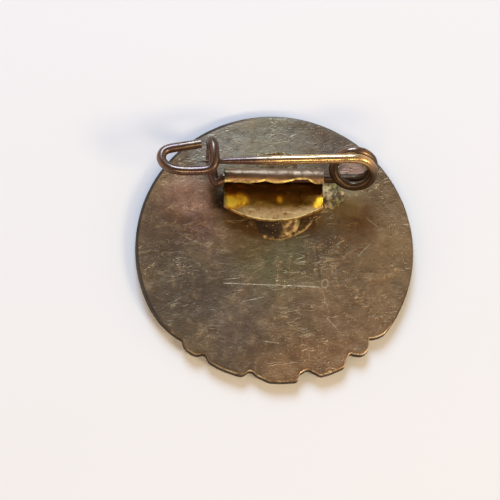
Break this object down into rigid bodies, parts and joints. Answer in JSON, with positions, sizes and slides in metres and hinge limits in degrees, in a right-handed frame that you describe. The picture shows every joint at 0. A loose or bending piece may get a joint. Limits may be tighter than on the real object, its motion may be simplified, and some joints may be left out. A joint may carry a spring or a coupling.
{
  "type": "struck metal badge with a wire pin",
  "caption": "Round struck metal badge with a folded brass clip on its back that holds a coiled safety-pin wire with a catch and a point guard.",
  "frame": {"origin": "centre of the badge's round outline, on its front face", "axes": "+Z out of the badge's back; +X along the pin from its catch to its coil; +Y to the badge's top"},
  "size_m": [0.028, 0.0278, 0.008],
  "materials": {
    "tombac": "tarnished, finely pitted and scratched",
    "enamel_dark": "polished flush; stands in for glass enamel",
    "enamel_light": "polished flush; stands in for glass enamel",
    "solder": "dull, crusted with flux",
    "clip_brass": "bright yellow brass, worn",
    "pin_wire": "drawn wire, darkened"
  },
  "bodies": {
    "badge": {"badge_body": "tombac", "enamel_centre": "enamel_dark", "enamel_ring": "enamel_light", "enamel_banner_middle": "enamel_light", "enamel_banner_right": "enamel_light", "enamel_banner_left": "enamel_light", "solder_pad": "solder", "clip_post": "solder", "clip_plate": "clip_brass", "pin_back_wire": "pin_wire", "coil_back_turn": "pin_wire"},
    "coil": {"coil_front_turn": "pin_wire"},
    "needle": {"pin_needle": "pin_wire"}
  },
  "joints": [
    {"name": "needle_flex", "type": "hinge", "parent": "badge", "child": "coil", "pos_m": [0.00763, 0.00726, 0.00533], "axis": [-0.0698, -0.827, 0.5578], "range_deg": [0, 4], "stiffness_Nm_per_rad": 0.02, "deforming": ["coil_back_turn", "coil_front_turn"]},
    {"name": "needle_swing", "type": "hinge", "parent": "coil", "child": "needle", "pos_m": [0.00757, 0.00766, 0.00747], "axis": [0, 0, 1], "range_deg": [0, 40], "stiffness_Nm_per_rad": 0.01, "deforming": ["coil_front_turn"]}
  ]
}
